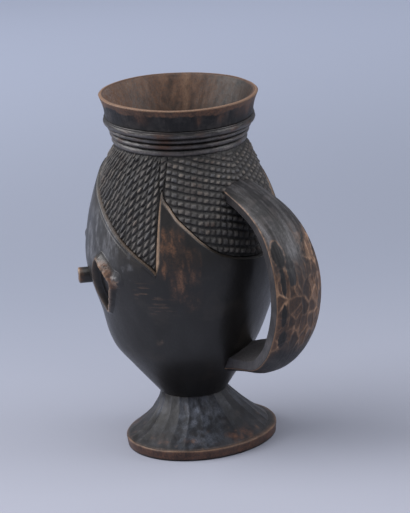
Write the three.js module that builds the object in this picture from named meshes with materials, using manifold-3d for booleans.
// Palm wine cup carved as a head on a trumpet foot, with a strap handle behind.
// Millimetres, +Z up. The origin is the centre of the foot's flat underside.
// The face looks toward -Y and the handle stands out toward +Y.
// A bearing is an angle in degrees round the cup, from the middle of the face toward +X.
// A place on the head is a bearing and "up", its share of the way from the waist to the neck.

import * as THREE from 'three';
import { mergeVertices } from 'three/addons/utils/BufferGeometryUtils.js';
import Module from 'manifold-3d';

const wasm = await Module();
wasm.setup();

// Foot: a thin oval plate and the hollow-sided skirt that rises from it to the waist
const PLATE_HEIGHT = 5.7;
const PLATE_ACROSS = 85;
const PLATE_DEEP = 78;
const PLATE_UNDERCUT = 0.6;
const SKIRT_HEIGHT = 21.1;
const SKIRT_BEND = { up: 0.46, flare: 3.8 };
const WAIST_RADIUS = 17.7;
const WAIST_FORWARD = 4;

// Head: the radius of its sections, and how far each one's centre lies toward the face
const HEAD_HEIGHT = 137.1;
const CHIN = { up: 0.125, radius: 30.6, forward: 5.4 };
const JAW = { up: 0.22, radius: 39.5, forward: 6.4 };
const CHEEK = { up: 0.366, radius: 46, forward: 3.9 };
const EAR_LEVEL = { up: 0.556, radius: 53.1, forward: 2.3 };
const TEMPLE = { up: 0.724, radius: 50.2, forward: 2.6 };
const CROWN = { up: 0.9, radius: 42.7, forward: 2.5 };
const NECK_RADIUS = 36.4;
const NECK_FORWARD = 1.2;

// Hollow inside the head
const BOWL_WALL = 10;
const BOWL_FLOOR = 21;
const BOWL_ROUNDING = 16;
const NECK_WALL = 9.4;
const THROAT_DEPTH = 8;
const SHOULDER_SPREAD = 1.2;

// Hair: a field of cut pattern sunk below the skin, and the corners of its edge
const HAIR_SUNK = 1.2;
const HAIR_THICKNESS = 2;
// Cut points of the hair: depth of the cuts, half the spacing of rows, and the rows' rise and
// fall for each degree round the cup
const CUT_DEPTH = 1;
const CUT_HALF_ROW = 4.6;
const FRONT_ROWS_RISE = 0.69;
const BACK_ROWS_FALL = 0.2;
const FOREHEAD_EDGE = { bearing: 0, up: 0.885 };
const TEMPLE_EDGE = { bearing: 57, up: 0.85 };
const LAPPET_TIP = { bearing: 117.3, up: 0.581 };
const NOTCH_POINT = { bearing: 121.9, up: 0.88 };
const NOTCH_SIDE = { bearing: 131.4, up: 0.777 };
const NAPE_TURN = { bearing: 150.3, up: 0.656 };
const NAPE_EDGE = { bearing: 180, up: 0.595 };

// Neck: four beads cut round it, from the bottom one up, then the flared rim
const BEAD_HEIGHTS = [4.3, 3.2, 3.1, 3.9];
const BEAD_STEPS = [-1, 0.1, 1, 3.2];
const BEAD_GROOVE = 1.3;
const RIM_HEIGHT = 12.1;
const RIM_STEP = 2.2;
const RIM_FLARE = 2.8;
const RIM_HOLLOW = 0.5;
const LIP_THICKNESS = 2.6;
const NECK_TILT = 2.9;

// Handle: a broad strap, crowned outside and flat inside, from the nape to under the jaw
const HANDLE_TOP_UP = 0.849;
const HANDLE_BOTTOM_UP = 0.146;
const HANDLE_REACH = 43;
const HANDLE_ROOT_DEPTH = 11;
const HANDLE_TOP_WIDTH = 23;
const HANDLE_MIDDLE_WIDTH = 34.2;
const HANDLE_LOW_WIDTH = 29;
const HANDLE_BOTTOM_WIDTH = 17;
const HANDLE_SKEW = -4;
const HANDLE_EDGE = 4.6;
const HANDLE_CROWN = 4.2;

// Ears and the pegs in front of them
const EAR_MIDDLE = { bearing: 79.5, up: 0.495 };
const EAR_LENGTH = 29;
const EAR_FRONT = 6;
const EAR_BACK = 6.8;
const EAR_INNER_SLOPE = 1.5;
const EAR_OUTER_SLOPE = 3.4;
const EAR_RELIEF = 3.2;
const PEG_MIDDLE = { bearing: 50, up: 0.501 };
const PEG_RADIUS = 4.2;
const PEG_LENGTH = 5;

// Face in low relief
const EYE_MIDDLE = { bearing: 24, up: 0.556 };
const EYE_WIDTH = 17;
const EYE_OPENING = 9;
const EYE_RELIEF = 3;
const BROW_INNER = { bearing: 6, up: 0.617 };
const BROW_TOP = { bearing: 21, up: 0.659 };
const BROW_OUTER = { bearing: 37, up: 0.622 };
const BROW_WIDTH = 5.4;
const BROW_RELIEF = 2.2;
const NOSE_ROOT_UP = 0.62;
const NOSE_TIP_UP = 0.39;
const NOSE_ROOT_WIDTH = 7;
const NOSE_BASE_WIDTH = 18;
const NOSE_ROOT_RELIEF = 2.2;
const NOSE_TIP_RELIEF = 9;
const MOUTH_UP = 0.31;
const MOUTH_WIDTH = 24;
const LIP_HEIGHT = 4.6;
const LIP_RELIEF = 3;

// Cut and curved neighbours stay this far apart
const CLEARANCE = 0.3;
// Angle between two facets round the cup
const FACET_ANGLE = 7.5;
// Longest step along a steep stretch of the hairline
const CLIMB_STEP = 8;
// A form that stands on the head starts this far below its skin, before it is cut back to it
const OVERCUT = 3;

// Levels and radii worked out from the sizes above
const WAIST_Z = PLATE_HEIGHT + SKIRT_HEIGHT;
const NECK_Z = WAIST_Z + HEAD_HEIGHT;
const COLLAR_HEIGHT = BEAD_HEIGHTS.reduce((sum, height) => sum + height, 0);
const TOP_HEIGHT = COLLAR_HEIGHT + RIM_HEIGHT;
const NECK_BORE = NECK_RADIUS - NECK_WALL;
const LIP_RADIUS = NECK_RADIUS + RIM_STEP + RIM_FLARE;

// Woods: the same block, coloured by how each part of it was cut and handled
function wood(name, color, roughness) {
  return new THREE.MeshStandardMaterial({ name, color, roughness, metalness: 0 });
}
const SKIN_WOOD = wood('skin_wood', 0x1f1e20, 0.42);
const HAIR_WOOD = wood('hair_wood', 0x35312e, 0.8);
const NECK_WOOD = wood('neck_wood', 0x2c2725, 0.5);
const RIM_WOOD = wood('rim_wood', 0x4a3126, 0.55);
const HANDLE_WOOD = wood('handle_wood', 0x3a2a22, 0.45);
const FOOT_WOOD = wood('foot_wood', 0x2f2e31, 0.48);

const { degToRad, radToDeg, lerp, clamp } = THREE.MathUtils;

// Unit vector that points level outward at a bearing
function outward(bearing) {
  const angle = degToRad(bearing);
  return new THREE.Vector3(Math.sin(angle), -Math.cos(angle), 0);
}

// Smooth curve through stations sorted by key, read at one place
function smoothAt(stations, key, value, place) {
  const last = stations.length - 1;
  const at = clamp(place, stations[0][key], stations[last][key]);
  let low = 0;
  while (low < last - 1 && at > stations[low + 1][key]) low += 1;
  const slope = (from, to) =>
    (stations[to][value] - stations[from][value]) / (stations[to][key] - stations[from][key]);
  const startSlope = slope(Math.max(low - 1, 0), low + 1);
  const endSlope = slope(low, Math.min(low + 2, last));
  const span = stations[low + 1][key] - stations[low][key];
  const t = (at - stations[low][key]) / span;
  const rise = (3 - 2 * t) * t * t;
  const startBend = t * (1 - t) * (1 - t) * span * startSlope;
  const endBend = t * t * (t - 1) * span * endSlope;
  return stations[low][value] * (1 - rise) + stations[low + 1][value] * rise + startBend + endBend;
}

const HEAD_SECTIONS = [
  { up: 0, radius: WAIST_RADIUS, forward: WAIST_FORWARD },
  CHIN, JAW, CHEEK, EAR_LEVEL, TEMPLE, CROWN,
  { up: 1, radius: NECK_RADIUS, forward: NECK_FORWARD },
];

// Level of a place on the head
function levelOf(up) {
  return WAIST_Z + up * HEAD_HEIGHT;
}

// Radius of the head's skin at a level
function headRadius(z) {
  return smoothAt(HEAD_SECTIONS, 'up', 'radius', (z - WAIST_Z) / HEAD_HEIGHT);
}

// Middle of the head's section at a level
function headCentre(z) {
  const forward = smoothAt(HEAD_SECTIONS, 'up', 'forward', (z - WAIST_Z) / HEAD_HEIGHT);
  return new THREE.Vector3(0, -forward, z);
}

// Point on the head at a bearing and level, raised off the skin
function onHead(bearing, z, raised = 0) {
  return headCentre(z).addScaledVector(outward(bearing), headRadius(z) + raised);
}

// Level of the neck's underside above a point: it leans back toward the handle
function neckLevel(point) {
  return NECK_Z - Math.tan(degToRad(NECK_TILT)) * point.y;
}

// Geometry from points and triangles, turned so that its faces point outward
function facingOut(points, triangles) {
  let volume = 0;
  for (let i = 0; i < triangles.length; i += 3) {
    const [a, b, c] = [0, 1, 2].map((corner) => points[triangles[i + corner]]);
    volume += a.dot(new THREE.Vector3().crossVectors(b, c));
  }
  const geometry = new THREE.BufferGeometry().setFromPoints(points);
  geometry.setIndex(volume > 0 ? triangles : [...triangles].reverse());
  geometry.computeVertexNormals();
  return geometry;
}

// Closed solid whose skin runs through rings of points, one ring after the other. Each ring
// closes on itself. The last ring joins the first if the rings close, or both ends are capped.
// Each square between two rings is split from its first corner, or across where told.
function loft(rings, ringsClose = false, splitsAcross = () => false) {
  const count = rings[0].length;
  const points = rings.flat();
  const triangles = [];
  const lastStep = ringsClose ? rings.length : rings.length - 1;
  for (let ring = 0; ring < lastStep; ring += 1) {
    for (let step = 0; step < count; step += 1) {
      const a = ring * count + step;
      const b = ring * count + (step + 1) % count;
      const c = ((ring + 1) % rings.length) * count + step;
      const d = ((ring + 1) % rings.length) * count + (step + 1) % count;
      triangles.push(...(splitsAcross(ring, step) ? [a, b, c, b, d, c] : [a, b, d, a, d, c]));
    }
  }
  if (!ringsClose) {
    [0, rings.length - 1].forEach((ring, end) => {
      const middle = points.length;
      const sum = rings[ring].reduce((total, point) => total.add(point), new THREE.Vector3());
      points.push(sum.divideScalar(count));
      for (let step = 0; step < count; step += 1) {
        const a = ring * count + step;
        const b = ring * count + (step + 1) % count;
        triangles.push(...(end ? [a, b, middle] : [b, a, middle]));
      }
    });
  }
  return facingOut(points, triangles);
}

// Manifold solid of a closed geometry
function toSolid(geometry) {
  const bare = new THREE.BufferGeometry();
  bare.setAttribute('position', geometry.getAttribute('position').clone());
  if (geometry.index) bare.setIndex(geometry.index.clone());
  const merged = mergeVertices(bare);
  const vertProperties = new Float32Array(merged.getAttribute('position').array);
  const triVerts = new Uint32Array(merged.index.array);
  return new wasm.Manifold(new wasm.Mesh({ numProp: 3, vertProperties, triVerts }));
}

// Geometry of a manifold solid
function toGeometry(solid) {
  const mesh = solid.getMesh();
  const geometry = new THREE.BufferGeometry();
  geometry.setAttribute('position', new THREE.BufferAttribute(new Float32Array(mesh.vertProperties), 3));
  geometry.setIndex(new THREE.BufferAttribute(new Uint32Array(mesh.triVerts), 1));
  geometry.computeVertexNormals();
  return geometry;
}

// The same form on the other side of the face
function mirrored(geometry) {
  const other = geometry.clone().applyMatrix4(new THREE.Matrix4().makeScale(-1, 1, 1));
  other.setIndex([...other.index.array].reverse());
  other.computeVertexNormals();
  return other;
}

// The hairline's corners, moved square to the line by a distance into the hair
function hairline(moved = 0) {
  const front = [FOREHEAD_EDGE, TEMPLE_EDGE, LAPPET_TIP];
  const corners = [...front, NOTCH_POINT, NOTCH_SIDE, NAPE_TURN, NAPE_EDGE];
  const perDegree = degToRad(EAR_LEVEL.radius);
  const flat = corners.map(({ bearing, up }) => new THREE.Vector2(bearing * perDegree, levelOf(up)));
  const level = new THREE.Vector2(1, 0);
  const sharpest = 0.2;
  const line = flat.map((corner, i) => {
    const before = i === 0 ? level : corner.clone().sub(flat[i - 1]).normalize();
    const after = i === flat.length - 1 ? level : flat[i + 1].clone().sub(corner).normalize();
    const middle = i > 0 && i < flat.length - 1;
    const mitre = middle
      ? new THREE.Vector2(-before.y - after.y, before.x + after.x).normalize()
      : new THREE.Vector2(0, 1);
    const lengthen = 1 / Math.max(mitre.x * -before.y + mitre.y * before.x, sharpest);
    const at = corner.clone().addScaledVector(mitre, moved * lengthen);
    return { bearing: at.x / perDegree, z: at.y };
  });
  return line.flatMap((from, i) => (i < line.length - 1 ? climb(from, line[i + 1]) : [from]));
}

// Points from one corner of the hairline up to the next, so that a steep stretch follows the head
function climb(from, to) {
  const steep = to.bearing - from.bearing < FACET_ANGLE;
  const steps = steep ? Math.ceil(Math.abs(to.z - from.z) / CLIMB_STEP) : 1;
  return Array.from({ length: steps }, (_, step) => ({
    bearing: lerp(from.bearing, to.bearing, step / steps),
    z: lerp(from.z, to.z, step / steps),
  }));
}

// Level of a hairline at any bearing, in straight lines between its corners
function hairlineAt(line, bearing) {
  const ahead = bearing > 180 ? 360 - bearing : bearing;
  let low = 0;
  while (low < line.length - 2 && ahead > line[low + 1].bearing) low += 1;
  const share = (ahead - line[low].bearing) / (line[low + 1].bearing - line[low].bearing);
  return lerp(line[low].z, line[low + 1].z, clamp(share, 0, 1));
}

// Even bearings round the cup, with the corners of a line among them on both sides
function bearingsWith(line) {
  const corners = line.map((corner) => corner.bearing);
  const half = new Set(corners);
  for (let bearing = 0; bearing <= 180; bearing += FACET_ANGLE) {
    if (corners.every((corner) => Math.abs(corner - bearing) > FACET_ANGLE / 4)) half.add(bearing);
  }
  const ahead = [...half].sort((a, b) => a - b);
  const behind = ahead.filter((bearing) => bearing > 0 && bearing < 180).map((bearing) => 360 - bearing);
  return [...ahead, ...behind.reverse()];
}

// Rings of the head's surface between two levels, each given as a function of the bearing
function band(bearings, from, to, rows, raised) {
  const rings = [];
  for (let row = 0; row <= rows; row += 1) {
    rings.push(bearings.map((bearing) => {
      const z = lerp(from(bearing), to(bearing), row / rows);
      return onHead(bearing, z, raised);
    }));
  }
  return rings;
}

// Rings of the skin from the waist up to the hairline: even ones first, then ones that bend to it
function skinRings(line, raised) {
  const bearings = bearingsWith(line);
  const even = Math.min(...line.map((corner) => corner.z)) - OVERCUT;
  return [
    ...band(bearings, () => WAIST_Z, () => even, 7, raised),
    ...band(bearings, () => even, (bearing) => hairlineAt(line, bearing), 4, raised).slice(1),
  ];
}

// Rings of the hair's field from the hairline up to the neck, bent first and then even
function fieldRings(line, raised) {
  const bearings = bearingsWith(line);
  const even = Math.max(...line.map((corner) => corner.z)) + OVERCUT;
  const neck = (bearing) => neckLevel(onHead(bearing, NECK_Z, raised));
  return [
    ...band(bearings, (bearing) => hairlineAt(line, bearing), () => even, 4, raised),
    ...band(bearings, () => even, neck, 2, raised).slice(1),
  ];
}

// Radius of the hollow at a level: the wall under the skin, drawn in at the neck and the floor
function bowlRadius(z) {
  const underSkin = headRadius(z) - BOWL_WALL;
  const underNeck = NECK_BORE + SHOULDER_SPREAD * Math.max(NECK_Z - THROAT_DEPTH - z, 0);
  const intoFloor = Math.max(WAIST_Z + BOWL_FLOOR + BOWL_ROUNDING - z, 0) / BOWL_ROUNDING;
  return Math.min(underSkin, underNeck) * Math.sqrt(Math.max(1 - intoFloor ** 2, 0));
}

// The hollow's rings from the neck down to the floor, closer together toward the floor
function hollowRings(bearings) {
  const rows = 11;
  const flatPart = 0.02 * BOWL_ROUNDING;
  const rings = [];
  for (let row = 0; row <= rows; row += 1) {
    const down = Math.sin((row / rows) * Math.PI / 2);
    rings.push(bearings.map((bearing) => {
      const mouth = headCentre(NECK_Z).addScaledVector(outward(bearing), NECK_BORE);
      const z = lerp(neckLevel(mouth), WAIST_Z + BOWL_FLOOR + flatPart, down);
      const radius = row === 0 ? NECK_BORE : bowlRadius(z);
      return headCentre(z).addScaledVector(outward(bearing), radius);
    }));
  }
  return rings;
}

// Head: skin up to the hairline, a recess for the hair above it, and the hollow inside
function headBowl() {
  const line = hairline();
  const recess = HAIR_SUNK + HAIR_THICKNESS + CLEARANCE;
  return loft([...skinRings(line, 0), ...fieldRings(line, -recess), ...hollowRings(bearingsWith(line))]);
}

// Body whose skin is cut into low points: every second place of every second row stands up.
// The rows climb from the forehead to the notch and fall slowly behind it.
function cutBody() {
  const step = FACET_ANGLE / 2;
  const count = Math.round(360 / step);
  const notch = Math.round(NOTCH_POINT.bearing / step);
  const rise = (column) => {
    const pastNotch = (Math.min(column, count - column) - notch) * step;
    return pastNotch < 0 ? FRONT_ROWS_RISE * pastNotch : -BACK_ROWS_FALL * pastNotch;
  };
  const lowest = levelOf(LAPPET_TIP.up) - 2 * CUT_HALF_ROW;
  const rows = Math.ceil((NECK_Z + COLLAR_HEIGHT - rise(0) - lowest) / CUT_HALF_ROW);
  const rings = Array.from({ length: rows + 1 }, (_, row) => (
    Array.from({ length: count }, (_, column) => {
      const z = lowest + row * CUT_HALF_ROW + rise(column);
      const standsUp = row % 2 === 1 && column % 2 === 0;
      const raised = -HAIR_SUNK - (standsUp ? 0 : CUT_DEPTH);
      return onHead(column * step, clamp(z, WAIST_Z, NECK_Z), raised).setZ(z);
    })
  ));
  const splitsAcross = (row, column) => {
    if (column < notch) return true;
    return column < count - notch && (row + column) % 2 === 0;
  };
  return loft(rings, false, splitsAcross);
}

// The hair's own shell, cut into points, a little clear of the recess that it lies in
function hairShell() {
  const line = hairline(CLEARANCE);
  const outside = fieldRings(line, 0);
  const inside = fieldRings(line, -HAIR_SUNK - HAIR_THICKNESS);
  const field = loft([...outside, ...inside.reverse()], true);
  return toGeometry(toSolid(field).intersect(toSolid(cutBody())));
}

// Everything that stands on the head is cut back to it, with the clearance all round
function clearOfHead(geometry) {
  const line = hairline(CLEARANCE);
  const head = loft([...skinRings(line, CLEARANCE), ...fieldRings(line, CLEARANCE - HAIR_SUNK)]);
  return toGeometry(toSolid(geometry).subtract(toSolid(head)));
}

// Oval ring of points round the cup, with its centre moved toward the face
function ovalRing(across, deep, forward, z) {
  return bearingsWith([]).map((bearing) => {
    const point = outward(bearing);
    return new THREE.Vector3(point.x * across, point.y * deep - forward, z);
  });
}

function footPlate() {
  const across = PLATE_ACROSS / 2;
  const deep = PLATE_DEEP / 2;
  return loft([
    ovalRing(across - PLATE_UNDERCUT, deep - PLATE_UNDERCUT, 0, 0),
    ovalRing(across, deep, 0, PLATE_HEIGHT),
  ]);
}

function footSkirt() {
  const edge = (PLATE_ACROSS + PLATE_DEEP) / 4;
  const side = new THREE.QuadraticBezierCurve(
    new THREE.Vector2(edge, PLATE_HEIGHT),
    new THREE.Vector2(WAIST_RADIUS + SKIRT_BEND.flare, PLATE_HEIGHT + SKIRT_BEND.up * SKIRT_HEIGHT),
    new THREE.Vector2(WAIST_RADIUS, WAIST_Z),
  );
  return loft(side.getPoints(8).map(({ x: radius, y: z }) => {
    const risen = (z - PLATE_HEIGHT) / SKIRT_HEIGHT;
    const oval = (radius - WAIST_RADIUS) / (edge - WAIST_RADIUS);
    const across = radius + (PLATE_ACROSS / 2 - edge) * oval;
    const deep = radius + (PLATE_DEEP / 2 - edge) * oval;
    return ovalRing(across, deep, WAIST_FORWARD * risen, z);
  }));
}

// Turned ring from an outer profile of [radius, height] points and the throat inside it,
// which is an even cone from the neck's bore up to the lip
function neckRing(outer) {
  const throat = (height) => lerp(NECK_BORE, LIP_RADIUS - LIP_THICKNESS, height / TOP_HEIGHT);
  const top = outer[outer.length - 1][1];
  const bottom = outer[0][1];
  const profile = [...outer, [throat(top), top], [throat(bottom), bottom]];
  return loft(profile.map(([radius, height]) => ovalRing(radius, radius, 0, height)), true);
}

// One bead: a rounded band between two grooves
function bead(index) {
  const base = BEAD_HEIGHTS.slice(0, index).reduce((sum, height) => sum + height, 0) + CLEARANCE;
  const height = BEAD_HEIGHTS[index] - CLEARANCE;
  const groove = NECK_RADIUS + BEAD_STEPS[index] - BEAD_GROOVE;
  const bulge = [0, 0.8, 1, 0.8, 0];
  const outer = bulge.map((out, step) => [groove + BEAD_GROOVE * out, base + height * step / (bulge.length - 1)]);
  return neckRing(outer);
}

// Rim: a slightly hollow flare with a worn lip
function rim() {
  const base = COLLAR_HEIGHT + CLEARANCE;
  const foot = NECK_RADIUS + RIM_STEP;
  const worn = LIP_THICKNESS / 4;
  return neckRing([
    [foot, base],
    [foot + RIM_FLARE / 2 - RIM_HOLLOW, (base + TOP_HEIGHT) / 2],
    [LIP_RADIUS, TOP_HEIGHT - worn],
    [LIP_RADIUS - worn, TOP_HEIGHT],
  ]);
}

// Outer line of the strap in the plane X = 0, from inside the nape to inside the lower jaw
function handleLine() {
  const top = onHead(180, levelOf(HANDLE_TOP_UP));
  const bottom = onHead(180, levelOf(HANDLE_BOTTOM_UP));
  // Share of the way down, and share of the reach behind the straight line between the roots
  const bulge = [[0.09, 0.4], [0.24, 0.76], [0.42, 0.96], [0.6, 1], [0.77, 0.94], [0.9, 0.79], [0.965, 0.56]];
  const points = bulge.map(([down, out]) =>
    top.clone().lerp(bottom, down).add(new THREE.Vector3(0, out * HANDLE_REACH, 0)));
  const topRoot = top.clone().add(new THREE.Vector3(0, -HANDLE_ROOT_DEPTH, HANDLE_ROOT_DEPTH * 0.3));
  const bottomRoot = bottom.clone().add(new THREE.Vector3(0, -HANDLE_ROOT_DEPTH, -HANDLE_ROOT_DEPTH * 0.1));
  return new THREE.CatmullRomCurve3([topRoot, top, ...points, bottom, bottomRoot], false, 'centripetal');
}

function handle() {
  const line = handleLine();
  const steps = 30;
  const across = 6;
  const widths = [
    { along: 0, width: HANDLE_TOP_WIDTH },
    { along: 0.5, width: HANDLE_MIDDLE_WIDTH },
    { along: 0.82, width: HANDLE_LOW_WIDTH },
    { along: 1, width: HANDLE_BOTTOM_WIDTH },
  ];
  const rings = [];
  for (let step = 0; step <= steps; step += 1) {
    const along = step / steps;
    const point = line.getPointAt(along);
    const run = line.getTangentAt(along);
    const out = new THREE.Vector3(0, -run.z, run.y);
    const half = smoothAt(widths, 'along', 'width', along) / 2;
    const middle = HANDLE_SKEW * along ** 3;
    const ring = [];
    for (let i = 0; i <= across; i += 1) {
      const side = (2 * i) / across - 1;
      const crown = HANDLE_CROWN * (1 - side ** 2);
      ring.push(point.clone().addScaledVector(out, crown).setX(middle + side * half));
    }
    for (const side of [1, 0, -1]) {
      ring.push(point.clone().addScaledVector(out, -HANDLE_EDGE).setX(middle + side * half));
    }
    rings.push(ring);
  }
  return clearOfHead(loft(rings));
}

// Ridge on the head along a path of crest points. Each has its bearing and level, the width of
// its slopes on the left and right of the way along, and its relief.
function ridge(path, closed = false) {
  const rings = path.map((at, i) => {
    const before = path[closed ? (i + path.length - 1) % path.length : Math.max(i - 1, 0)];
    const after = path[closed ? (i + 1) % path.length : Math.min(i + 1, path.length - 1)];
    const run = onHead(after.bearing, after.z).sub(onHead(before.bearing, before.z)).normalize();
    const up = outward(at.bearing);
    const right = new THREE.Vector3().crossVectors(run, up).normalize();
    const profile = [
      [-at.left, -OVERCUT], [-at.left, 0], [-at.left * 0.45, at.relief * 0.8], [0, at.relief],
      [at.right * 0.45, at.relief * 0.8], [at.right, 0], [at.right, -OVERCUT],
    ];
    return profile.map(([across, raised]) =>
      onHead(at.bearing, at.z, raised).addScaledVector(right, across));
  });
  return clearOfHead(loft(rings, closed));
}

// Left ear: a pointed oval ridge round a hollow, heavier behind
function ear() {
  const steps = 18;
  const middle = levelOf(EAR_MIDDLE.up);
  const path = [];
  for (let step = 0; step < steps; step += 1) {
    const angle = (step / steps) * 2 * Math.PI;
    const back = Math.cos(angle);
    const z = middle + Math.sin(angle) * EAR_LENGTH / 2;
    const reach = back > 0 ? EAR_BACK * back : EAR_FRONT * back;
    path.push({
      bearing: EAR_MIDDLE.bearing + radToDeg(reach / headRadius(z)),
      z,
      left: EAR_INNER_SLOPE,
      right: EAR_OUTER_SLOPE * (0.75 + 0.25 * back),
      relief: EAR_RELIEF * (0.85 + 0.15 * back),
    });
  }
  return ridge(path, true);
}

// Body whose Y axis points outward from the head, standing on it at a bearing and level
function placedOnHead(geometry, bearing, z, raised) {
  const out = outward(bearing);
  const level = new THREE.Vector3(0, 0, 1);
  const frame = new THREE.Matrix4().makeBasis(new THREE.Vector3().crossVectors(out, level), out, level);
  return geometry.applyMatrix4(frame.setPosition(onHead(bearing, z, raised)));
}

// Left peg: a short stub with a flat end
function earPeg() {
  const stub = new THREE.CylinderGeometry(PEG_RADIUS, PEG_RADIUS, PEG_LENGTH + OVERCUT, 20);
  const middle = (PEG_LENGTH - OVERCUT) / 2;
  return clearOfHead(placedOnHead(stub, PEG_MIDDLE.bearing, levelOf(PEG_MIDDLE.up), middle));
}

// Left eye: a closed lid's swelling
function eye() {
  const ball = new THREE.SphereGeometry(1, 14, 9).scale(EYE_WIDTH / 2, EYE_RELIEF, EYE_OPENING / 2);
  return clearOfHead(placedOnHead(ball, EYE_MIDDLE.bearing, levelOf(EYE_MIDDLE.up), 0));
}

// Left brow: an arched ridge that thins toward both ends
function brow() {
  const corners = [BROW_INNER, BROW_TOP, BROW_OUTER];
  const steps = 8;
  const path = [];
  for (let step = 0; step <= steps; step += 1) {
    const bearing = lerp(BROW_INNER.bearing, BROW_OUTER.bearing, step / steps);
    const fullness = 0.5 + 0.5 * Math.sin((step / steps) * Math.PI);
    path.push({
      bearing,
      z: levelOf(smoothAt(corners, 'bearing', 'up', bearing)),
      left: BROW_WIDTH * fullness / 2,
      right: BROW_WIDTH * fullness / 2,
      relief: BROW_RELIEF * fullness,
    });
  }
  return ridge(path);
}

// Nose: a wedge with a rounded back that widens and stands out toward its tip
function nose() {
  const steps = 7;
  const rings = [];
  for (let step = 0; step <= steps; step += 1) {
    const down = step / steps;
    const z = levelOf(lerp(NOSE_ROOT_UP, NOSE_TIP_UP, down));
    const half = lerp(NOSE_ROOT_WIDTH, NOSE_BASE_WIDTH, down ** 1.6) / 2;
    const relief = lerp(NOSE_ROOT_RELIEF, NOSE_TIP_RELIEF, down ** 1.2);
    const profile = [
      [-1, -OVERCUT], [-1, 0], [-0.6, relief * 0.55], [-0.25, relief * 0.93],
      [0.25, relief * 0.93], [0.6, relief * 0.55], [1, 0], [1, -OVERCUT],
    ];
    rings.push(profile.map(([across, raised]) => onHead(0, z, raised).setX(across * half)));
  }
  return clearOfHead(loft(rings));
}

// Closed lips: two long swellings that meet
function mouth() {
  const swelling = 0.65 * LIP_HEIGHT;
  const lip = (above) => placedOnHead(
    new THREE.SphereGeometry(1, 14, 8).scale(MOUTH_WIDTH / 2, LIP_RELIEF, swelling),
    0,
    levelOf(MOUTH_UP) + above * LIP_HEIGHT / 2,
    0,
  );
  return clearOfHead(toGeometry(toSolid(lip(1)).add(toSolid(lip(-1)))));
}

// A named piece in its wood
function piece(name, geometry, material) {
  const mesh = new THREE.Mesh(geometry, material);
  mesh.name = name;
  return mesh;
}

// A left piece and its mirror image on the right
function pair(name, geometry, material) {
  return [piece(`left_${name}`, geometry, material), piece(`right_${name}`, mirrored(geometry), material)];
}

// The neck's rings stand on the head's leaning top, in a group that leans with it
function neckGroup() {
  const group = new THREE.Group();
  BEAD_HEIGHTS.forEach((height, index) => {
    group.add(piece(`collar_bead_${index + 1}`, bead(index), NECK_WOOD));
  });
  group.add(piece('rim', rim(), RIM_WOOD));
  group.rotation.x = -degToRad(NECK_TILT);
  group.position.copy(headCentre(NECK_Z));
  group.position.z = neckLevel(group.position);
  return group;
}

function cup() {
  const group = new THREE.Group();
  group.add(piece('foot_plate', footPlate(), FOOT_WOOD));
  group.add(piece('foot_skirt', footSkirt(), FOOT_WOOD));
  group.add(piece('head_bowl', headBowl(), SKIN_WOOD));
  group.add(piece('hair', hairShell(), HAIR_WOOD));
  group.add(neckGroup());
  group.add(piece('handle', handle(), HANDLE_WOOD));
  group.add(...pair('ear', ear(), SKIN_WOOD));
  group.add(...pair('ear_peg', earPeg(), SKIN_WOOD));
  group.add(...pair('eye', eye(), SKIN_WOOD));
  group.add(...pair('brow', brow(), SKIN_WOOD));
  group.add(piece('nose', nose(), SKIN_WOOD));
  group.add(piece('mouth', mouth(), SKIN_WOOD));
  return group;
}

export default cup();
